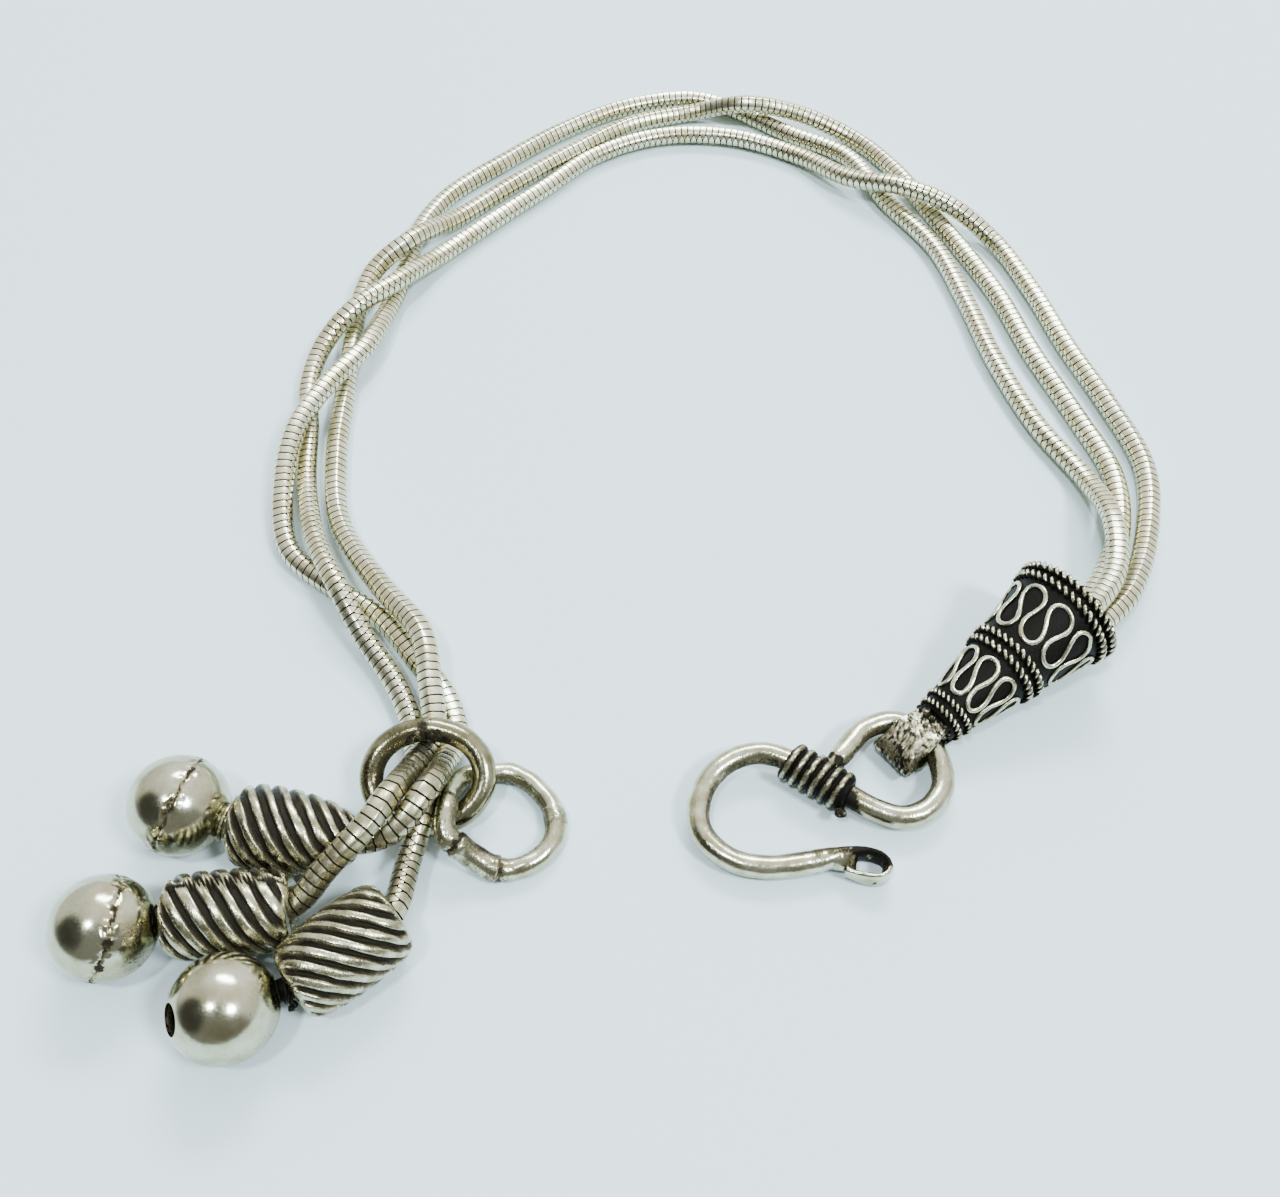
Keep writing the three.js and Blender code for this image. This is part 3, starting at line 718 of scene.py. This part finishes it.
def twistedRing(place, lead, thick):
    # two wires twisted together in a straight length, then bent round the cone
    ringRadius = coneRadius(place) + thick * 0.5
    twists = round(2 * pi * ringRadius / lead)
    steps = twists * cone["stepsPerTwist"]
    bm = bmesh.new()
    for start in (0, pi):
        beside = Matrix.Translation((0, thick * 0.92 * mm, 0)) @ Matrix.Rotation(pi / 2, 4, "Y")
        circle = bmesh.ops.create_circle(bm, segments=cone["rowSides"], radius=thick * mm,
                                         matrix=Matrix.Rotation(start, 4, "X") @ beside)
        loop = circle["verts"] + list({e for v in circle["verts"] for e in v.link_edges})
        bmesh.ops.spin(bm, geom=loop, cent=(0, 0, 0), axis=(1, 0, 0), dvec=(2 * pi * ringRadius * mm / steps, 0, 0),
                       angle=2 * pi * twists, steps=steps, use_merge=False)
    layer = patinaAndShadeLayer(bm)
    for v in bm.verts:
        proud = v.co.z / (thick * mm)
        v[layer] = smoothStep(1.35, 0.75, proud + 0.4 * lumpy(v.co, 0.4))
        turn, radius = v.co.x / (ringRadius * mm), ringRadius * mm + v.co.z
        v.co = onCircle(radius, turn, place * mm + v.co.y)
    bmesh.ops.remove_doubles(bm, verts=bm.verts, dist=2e-6)
    return bm


def meander(look):
    # a line whose heading swings from side to side, which gives round bulbs at both ends of each swing
    per, heading, x, y = cone["meanderPoints"], radians(cone["swing"]), [0], [0]
    for i in range(per):
        swung = heading * sin(2 * pi * (i + 0.5) / per)
        x.append(x[-1] + cos(swung))
        y.append(y[-1] + sin(swung))
    line = []
    for i in range(per * look["count"]):
        swings, part = divmod(i, per)
        climb = y[part] / y[per // 2]
        along = look["low"] + (look["high"] - look["low"]) * climb
        along += 0.12 * noise.noise(Vector((swings * 1.7, look["low"], part / per)))
        turn = radians(90 + look["turn"]) + 2 * pi / look["count"] * (swings - 0.5 + x[part] / x[per])
        turn += 0.03 * noise.noise(Vector((swings, 5, 1)))
        turn += radians(cone["lean"]) * (1 - 2 * climb)
        line.append(onCircle(coneRadius(along) + cone["meanderWire"] * 0.45, turn, along) * mm)
    bm = wire(line, cone["meanderWire"], closed=True, roundness=2)
    layer = patinaAndShadeLayer(bm)
    for v in bm.verts:
        radius, base = fromAxis(v.co), coneRadius(v.co.z / mm) * mm
        proud = (radius - base) / (cone["meanderWire"] * mm)
        v[layer] = smoothStep(0.9, 0.3, proud + 0.4 * lumpy(v.co, 0.25))
        v.co.xy *= (base + (radius - base) * cone["flattened"]) / radius
    roughen(bm, 0.2, 0.045, 3)
    return bm


heights = [coneLength * i / cone["rings"] for i in range(1, cone["rings"])]
outer = [(3.66, 0), (3.78, 0.05)] + [(coneRadius(height), height) for height in heights]
outer += [(1.42, coneLength - 0.04), (1.32, coneLength)]  # both rims are rounded
plugged = coneLength - cone["plug"]
inner = [(0, coneLength), (0, plugged), (coneRadius(plugged) - cone["wall"], plugged), (3.36, 0)]
shell = spun(profileOf(outer + inner), cone["segments"])
roughen(shell, 0.4, 0.03, 1)
blacken(shell)
windings = joined([twistedRing(*row) for row in cone["rows"]] + [meander(look) for look in cone["meanders"]])
standAlong(shell, cone["mouth"], cone["tip"])
standAlong(windings, cone["mouth"], cone["tip"])
addPiece("cone_shell", shell, blackenedSilver, ["cone_cap"])
addPiece("cone_windings", windings, blackenedSilver, turnedOut=False)

# the bail: a thick band, bent back on itself in front of the cone's tip, filed, and soldered to the cone
bail = {
    "width": 3.1, "neck": 0.76, "thickness": 0.42, "start": -0.75, "end": 4.25, "base": 0.04, "top": 2.64,
    "curl": 2.1, "curlStep": 6, "straightSteps": 24, "strips": 26, "bevel": 0.07, "grains": 34,
}
tip = Vector(cone["tip"])
outward = (tip - Vector(cone["mouth"])) * level
ahead = outward.normalized()
sideways = ahead.cross(upward)
middle, half = (bail["base"] + bail["top"]) / 2, (bail["top"] - bail["base"]) / 2
side = []  # the band seen from its side: (forward, up)
for turn in range(-90, 91, bail["curlStep"]):
    side.append((bail["end"] - bail["curl"] * (1 - cos(radians(turn))), middle + half * sin(radians(turn))))
front, steps = side[0][0], bail["straightSteps"]
side = [(bail["start"] + (front - bail["start"]) * i / steps, bail["base"]) for i in range(steps)] + side
front = side[-1][0]
side += [(front + (bail["start"] - front) * (i + 1) / steps, bail["top"]) for i in range(steps)]
bm = bmesh.new()
path = [bm.verts.new((x * mm, -bail["width"] / 2 * mm, z * mm)) for x, z in side]
edges = [bm.edges.new(pair) for pair in zip(path, path[1:])]
for i in range(bail["strips"]):
    grown = bmesh.ops.extrude_edge_only(bm, edges=edges)
    bmesh.ops.translate(bm, vec=(0, bail["width"] / bail["strips"] * mm, 0), verts=vertsOf(grown))
    edges = [g for g in grown["geom"] if isinstance(g, bmesh.types.BMEdge)]
    edges = [e for e in edges if abs(e.verts[0].co.y - e.verts[1].co.y) < 1e-7]
bmesh.ops.recalc_face_normals(bm, faces=bm.faces)
bmesh.ops.solidify(bm, geom=bm.faces[:], thickness=bail["thickness"] * mm)
for v in bm.verts:  # narrow where it leaves the cone, and filed round at the front
    v.co.z = max(v.co.z, bail["base"] * mm)
    front = smoothStep(bail["end"] - 2.4, bail["end"] - 0.3, v.co.x / mm)
    high = (v.co.z / mm - bail["base"] - bail["top"] / 2) / (bail["top"] / 2)
    narrowed = bail["neck"] + (1 - bail["neck"]) * smoothStep(0.2, 3, v.co.x / mm)
    v.co.y *= narrowed * (1 - front * (1 - sqrt(max(0.3, 1 - 0.75 * high ** 2))))
rimEdges = [e for e in bm.edges if e.calc_face_angle(0) > radians(60)]
bmesh.ops.bevel(bm, geom=rimEdges, offset=bail["bevel"] * mm, offset_type="OFFSET", segments=2, profile=0.5,
                affect="EDGES", material=-1)
bmesh.ops.rotate(bm, cent=(0, 0, 0), matrix=Matrix.Rotation(atan2(outward.y, outward.x), 3, "Z"), verts=bm.verts)
bmesh.ops.translate(bm, vec=tip * level * mm, verts=bm.verts)
roughen(bm, 0.45, 0.04, 7)
roughen(bm, 0.2, 0.015, 9)
chance = random.Random(4)
grains = []
for i in range(bail["grains"]):  # grains of solder where the band meets the cone
    place = tip + ahead * chance.uniform(-0.7, 0.7) + upward * chance.uniform(0.2, 1.25)
    place += sideways * chance.uniform(-1.35, 1.35)
    grains.append(drop(place, chance.uniform(0.12, 0.3)))
bm = joined([bm] + grains)
layer = patinaAndShadeLayer(bm)
for v in bm.verts:
    reach, across = (v.co / mm - tip).dot(ahead), (v.co / mm - tip).dot(sideways)
    front = smoothStep(3.2, 3.9, reach)
    filed = noise.noise(Vector((across / 0.16, v.co.z / mm / 1.2, 3)))  # file marks running down the front
    v[layer] = 0.42 + 0.3 * lumpy(v.co, 0.45) + 0.75 * lumpy(v.co, 0.15)
    v[layer] += front * (0.15 + 0.6 * filed) + 0.4 * smoothStep(1.2, 0.2, reach)
addPiece("cone_bail", bm, blackenedSilver)


# the hook: one forged wire, from the eye's cut end through the wrap and round to the flattened, curled tip

print("hook")
hook = {
    "wire": 0.735, "cutEnd": 0.72, "cutEndLength": 1.5,
    # flattened between these lengths from the tip
    "flatFrom": 8.2, "flatTo": 4.6, "flatHeight": 0.86, "flatSide": 0.22, "tipHeight": 0.65, "tipLength": 2.2,
    "eyeCentre": (14.0, -27.8, 0), "bendCentre": (5.0, -30.8, 0), "eyeFrom": 8.5, "innerPaintedShade": 0.62,
}
hookRoute = [
    (9.8, -27.95, 1.5), (10.2, -27.35, 1.6), (10.8, -26.6, 1.5), (12.2, -25, 1.35), (13.9, -24.3, 1.3),
    (15.2, -24.6, 1.28), (16.2, -25.4, 1.26), (16.8, -26.7, 1.25), (17, -28, 1.24), (16.8, -29.3, 1.23),
    (15.8, -30.6, 1.22), (14.2, -31.2, 1.22), (12.5, -30.7, 1.27), (10.6, -29.6, 1.36), (9.05, -28.55, 1.43),
    (7.5, -27.5, 1.5), (5.5, -26.8, 1.55), (3.4, -27.3, 1.51), (1.9, -28.7, 1.4), (1.2, -30.5, 1.26),
    (1.3, -32, 1.15), (2.4, -33.5, 1.03), (4.1, -34.3, 0.97), (6.3, -34.4, 0.96), (8.2, -34.1, 0.96),
    (10.4, -33.65, 0.96), (11.7, -33.6, 0.96), (12.6, -34, 0.96), (12.85, -34.7, 0.96), (12.3, -35.25, 0.96),
    (11.2, -35.15, 0.96), (10.2, -34.75, 0.96)]
hookStainsAndShade = [
    # where the wrap grips it
    (6.8, -27.3, 1.3, 0.8, 0.85), (6.3, -27.5, 1.7, 0.5, 0.7), (10.6, -27.9, 1.3, 0.9, 1), (11.1, -27.3, 1.1, 0.65, 1),
    (9.9, -27.2, 1.9, 0.35, 0.9), (10.3, -27.6, 2.2, 0.4, 0.9), (10.7, -30.2, 1.4, 1.0, 1),
    (11.3, -30.3, 0.9, 0.9, 0.9),
    # along the top of the flattened end, deeper towards the curl
    (7.4, -33.8, 1.6, 0.4, 0.4), (8.4, -33.7, 1.65, 0.45, 0.5), (9.4, -33.5, 1.7, 0.5, 0.55),
    (10.3, -33.5, 1.75, 0.6, 0.65), (11.1, -33.55, 1.75, 0.65, 1), (11.8, -33.6, 1.75, 0.65, 1),
    (12.5, -33.9, 1.7, 0.6, 1), (12.85, -34.4, 1.65, 0.5, 1),
    # inside the curl and on the front of the flattened end: painted shade
    (10.2, -34.1, 1.1, 0.55, 1), (11.2, -34.1, 1.1, 0.6, 1), (12.1, -34.3, 1.1, 0.6, 1), (12.5, -34.7, 1.1, 0.45, 1),
    (10.5, -33.9, 0.5, 0.6, 1), (11.3, -33.9, 0.5, 0.7, 1), (12.1, -34.1, 0.5, 0.6, 1), (12.5, -34.6, 0.5, 0.45, 1),
    (9.3, -33.3, 1.5, 0.5, 0.6), (8.6, -33.5, 1.6, 0.4, 0.55), (8.4, -34.8, 0.6, 0.3, 0.8),
    (9.1, -34.5, 0.6, 0.4, 0.9), (9.7, -34.2, 0.7, 0.5, 1), (10.0, -34.1, 1.2, 0.4, 0.8), (11.9, -35.5, 1.0, 0.15, 0.9)]
line = smoothRoute(hookRoute, 12)
bm = wire(line, hook["wire"], roundness=8, twist="Z_UP")
total = reachAlong(line)[-1] / mm
print("hook wire", round(total, 1), "mm")
layer = patinaAndShadeLayer(bm)
for v, place, reach in measured(bm, line):
    off = v.co - place
    # painted shade: darker on the side of the wire that faces the middle of its loop
    inBend = place.x < hook["eyeFrom"] * mm
    inward = (Vector(hook["bendCentre" if inBend else "eyeCentre"]) * mm - place) * level
    inner = off.normalized().dot(inward.normalized())
    inner = smoothStep(0.45, 0.95, inner + 0.25 * lumpy(v.co, 1.0))
    v[layer] = hook["innerPaintedShade"] * inner + 0.12 * lumpy(v.co, 0.5)
    # hammered flat towards the tip, and thinned again at its very end
    flat = smoothStep(hook["flatFrom"], hook["flatTo"], total - reach)
    side = off * level
    squared = 1 + 0.25 * flat * (1 - abs(abs(off.z) - side.length) / (hook["wire"] * mm))
    tall = 1 + flat * (hook["flatHeight"] / hook["wire"] - 1)
    tall *= 1 - (1 - hook["tipHeight"]) * smoothStep(hook["tipLength"], 0.2, total - reach)
    thin = 1 + flat * (hook["flatSide"] / hook["wire"] - 1)
    start = hook["cutEnd"] + (1 - hook["cutEnd"]) * smoothStep(0, hook["cutEndLength"], reach)
    v.co = place + (side * thin * squared + Vector((0, 0, off.z * tall * min(squared, 1.04)))) * start
    v.co.z = max(v.co.z, 0.01 * mm)
roughen(bm, 1.3, 0.05, 2)
roughen(bm, 0.4, 0.015, 5)
for v in bm.verts:
    if v.co.x > 7.6 * mm and v.co.y < -33.1 * mm and v.co.z > 0.9 * mm:  # the scabby top of the flattened tip
        v.co.z += 0.05 * mm * lumpy(v.co, 0.18)
stainAndShade(bm, hookStainsAndShade)
addPiece("hook_wire", bm, forgedSilver, ["s_hook"])

# the wrap: thinner wire wound round the hook's eye and shank, with oxide and solder packed between its turns
wrap = {
    "from": (10.75, -29.7, 1.36), "to": (7.1, -27.25, 1.52), "radius": 1.08, "wire": 0.31, "pitch": 0.7, "turns": 6.1,
    "pointsPerTurn": 24, "filling": [(1.16, 0.05), (1.16, 4.2), (0.8, 4.4), (0.8, -0.1)],
    "nub": {"place": (10.15, -31.0, 1.35), "radius": 0.34, "stretch": (1.2, 0.8, 0.8)},
    # black solder between the eye's cut end and the wrap: x, y, z, radius
    "solder": [(10.3, -28.0, 1.3, 0.42), (10.55, -27.9, 1.0, 0.35), (9.45, -27.45, 1.6, 0.3), (9.3, -27.3, 1.8, 0.2)],
}
line = []
for i in range(round(wrap["turns"] * wrap["pointsPerTurn"]) + 1):
    turn, along = 2 * pi * i / wrap["pointsPerTurn"], wrap["pitch"] * i / wrap["pointsPerTurn"]
    line.append(onCircle(wrap["radius"], -turn, along) * mm)
coil = wire(line, wrap["wire"], roundness=3)
layer = patinaAndShadeLayer(coil)
for v in coil.verts:
    out = fromAxis(v.co) / mm - wrap["radius"]
    v[layer] = 1.2 - smoothStep(0.15, 0.34, out + 0.05 * lumpy(v.co, 0.4))
filling = spun(profileOf(wrap["filling"]), 32)
blacken(filling)
bm = joined([coil, filling])
standAlong(bm, wrap["from"], wrap["to"])
roughen(bm, 0.5, 0.03, 4)
nub = drop(wrap["nub"]["place"], wrap["nub"]["radius"], 3, wrap["nub"]["stretch"])  # the wire's end, pressed down
roughen(nub, 0.25, 0.08, 6)
layer = patinaAndShadeLayer(nub)
for v in nub.verts:
    v[layer] = 0.7 + 0.6 * lumpy(v.co, 0.2)
parts = [bm, nub]
for x, y, z, radius in wrap["solder"]:
    lump = drop((x, y, z), radius, 3)
    roughen(lump, 0.3, 0.1, 2)
    blacken(lump, 1.2)
    parts.append(lump)
addPiece("hook_wrap", joined(parts), blackenedSilver, ["wire_wrap"])


# the two rings

print("rings")
gathering = {
    "centre": (-15.95, -28.92, 2.35), "halfWidth": 3.6, "halfDepth": 3, "tilt": 27, "wire": 0.77, "points": 16,
    "stains": [
        (-15.2, -27.2, 3.5, 0.9, 1), (-16.0, -27.1, 3.4, 1.0, 1), (-16.9, -27.1, 3.6, 0.7, 0.9),
        (-16.3, -26.4, 4.3, 0.5, 0.7), (-14.3, -27.3, 3.3, 0.4, 0.7), (-18.9, -28.9, 2.2, 0.5, 0.6)],
    "solderDrops": 26, "solderFrom": 78, "solderTo": 114,
}
gatheringCentre = Vector(gathering["centre"])


def onGathering(turn):
    tilt, depth = radians(gathering["tilt"]), gathering["halfDepth"] * sin(turn)
    return gatheringCentre + Vector((gathering["halfWidth"] * cos(turn), depth * cos(tilt), depth * sin(tilt)))


turns = [2 * pi * i / gathering["points"] for i in range(gathering["points"])]
line = smoothRoute([onGathering(turn) for turn in turns], 10, closed=True)
ring = wire(line, gathering["wire"], closed=True, roundness=7)
roughen(ring, 1.5, 0.05, 11)
layer = patinaAndShadeLayer(ring)
for v in ring.verts:  # painted shade inside the ring, deepest on the left, and the left side darker all over
    flat = v.co * level / mm - gatheringCentre * level
    reach = flat.length * (1 + 0.18 * abs(flat.y) / flat.length)
    inside = smoothStep(gathering["halfWidth"] + 0.1, gathering["halfWidth"] - 0.5, reach)
    left = smoothStep(-0.3, 0.9, -flat.x / flat.length)
    v[layer] = inside * (0.15 + 0.15 * left) + 0.2 * left + 0.12 * lumpy(v.co, 0.6)
stainAndShade(ring, gathering["stains"])
chance = random.Random(9)
lumps = []
for i in range(gathering["solderDrops"]):  # spilt solder over the joint on the far bar
    place = onGathering(radians(chance.uniform(gathering["solderFrom"], gathering["solderTo"])))
    place += Vector((0, chance.uniform(-0.75, 0.2), chance.uniform(-0.1, 0.62)))
    lump = drop(place, chance.uniform(0.14, 0.36))
    roughen(lump, 0.25, 0.08, i)
    lumps.append(lump)
solder = joined(lumps)
layer = patinaAndShadeLayer(solder)
for v in solder.verts:
    v[layer] = 0.6 + 0.8 * lumpy(v.co, 0.3) + 0.35 * smoothStep(-16.6, -15.6, v.co.x / mm)
addPiece("ring_gathering", joined([ring, solder]), tarnishedSilver, ["gathering_ring"])

link = {
    "wire": 0.68, "centre": (-11.3, -31.2, 0), "innerPaintedShade": 0.5,
    "mended": 0.17, "mendedFrom": -14.2, "mendedTo": -11.1, "mendedBelow": -31,  # x and y of the mended length
    "seams": [(-8.06, -31.08), (-11.12, -34.4), (-14.0, -33.4)], "seamSwell": 0.1, "seamDepth": 0.16,
    "stains": [
        (-13.5, -29.8, 2.9, 0.28, 1), (-13.0, -33.9, 2.0, 0.25, 1), (-14.9, -33.1, 2.9, 0.22, 0.9),
        (-12.6, -34.4, 1.6, 0.2, 0.9), (-14.7, -31.9, 3.3, 0.16, 0.8)],
}
linkRoute = [
    (-12, -27.8, 0.68), (-10.9, -27.8, 0.67), (-9.6, -28.5, 0.67), (-8.5, -29.7, 0.67), (-7.9, -30.9, 0.67),
    (-7.9, -32.3, 0.67), (-8.5, -33.4, 0.67), (-9.6, -34.2, 0.68), (-10.7, -34.5, 0.68), (-11.7, -34.4, 0.8),
    (-12.6, -34, 1.2), (-13.5, -33.6, 1.9), (-14.2, -33.3, 2.5), (-14.5, -32.7, 2.82), (-14.5, -31.3, 2.91),
    (-14.5, -29.8, 1.87), (-14.2, -28.7, 1.02), (-13.4, -27.9, 0.71)]
line = smoothRoute(linkRoute, 14, closed=True)
bm = wire(line, link["wire"], closed=True, roundness=7)
roughen(bm, 1.2, 0.06, 21)
layer = patinaAndShadeLayer(bm)
for v, place, _ in measured(bm, line):
    x, y = place.x / mm, place.y / mm
    # a thicker, filed length where the ring was closed
    mended = smoothStep(link["mendedFrom"], link["mendedFrom"] + 0.4, x)
    mended *= smoothStep(link["mendedTo"], link["mendedTo"] - 0.3, x) * (y < link["mendedBelow"])
    v.co += (v.co - place) * link["mended"] * mended
    # painted shade: darker on the side of the wire that faces the ring's middle
    inward = (Vector(link["centre"]) * mm - place) * level
    inner = (v.co - place).normalized().dot(inward.normalized())
    v[layer] = mended * (0.3 + 0.2 * lumpy(v.co, 0.5)) + 0.1 * lumpy(v.co, 0.4)
    v[layer] += link["innerPaintedShade"] * smoothStep(0.35, 0.95, inner + 0.25 * lumpy(v.co, 1.0))
    for seamX, seamY in link["seams"]:
        off = sqrt((x - seamX) ** 2 + (y - seamY) ** 2)
        if off < 0.9:
            uneven = off + 0.2 * lumpy(v.co, 0.35)
            swell = link["seamSwell"] * smoothStep(0.8, 0.25, uneven)
            crack = link["seamDepth"] * smoothStep(0.18, 0.04, uneven)
            v.co += (v.co - place) * (swell - crack)
            darkness = max(0.8 * smoothStep(0.2, 0.05, uneven), 0.3 * smoothStep(0.85, 0.4, uneven))
            v[layer] = max(v[layer], darkness)
stainAndShade(bm, link["stains"])
addPiece("ring_link", bm, forgedSilver, ["link_ring"])
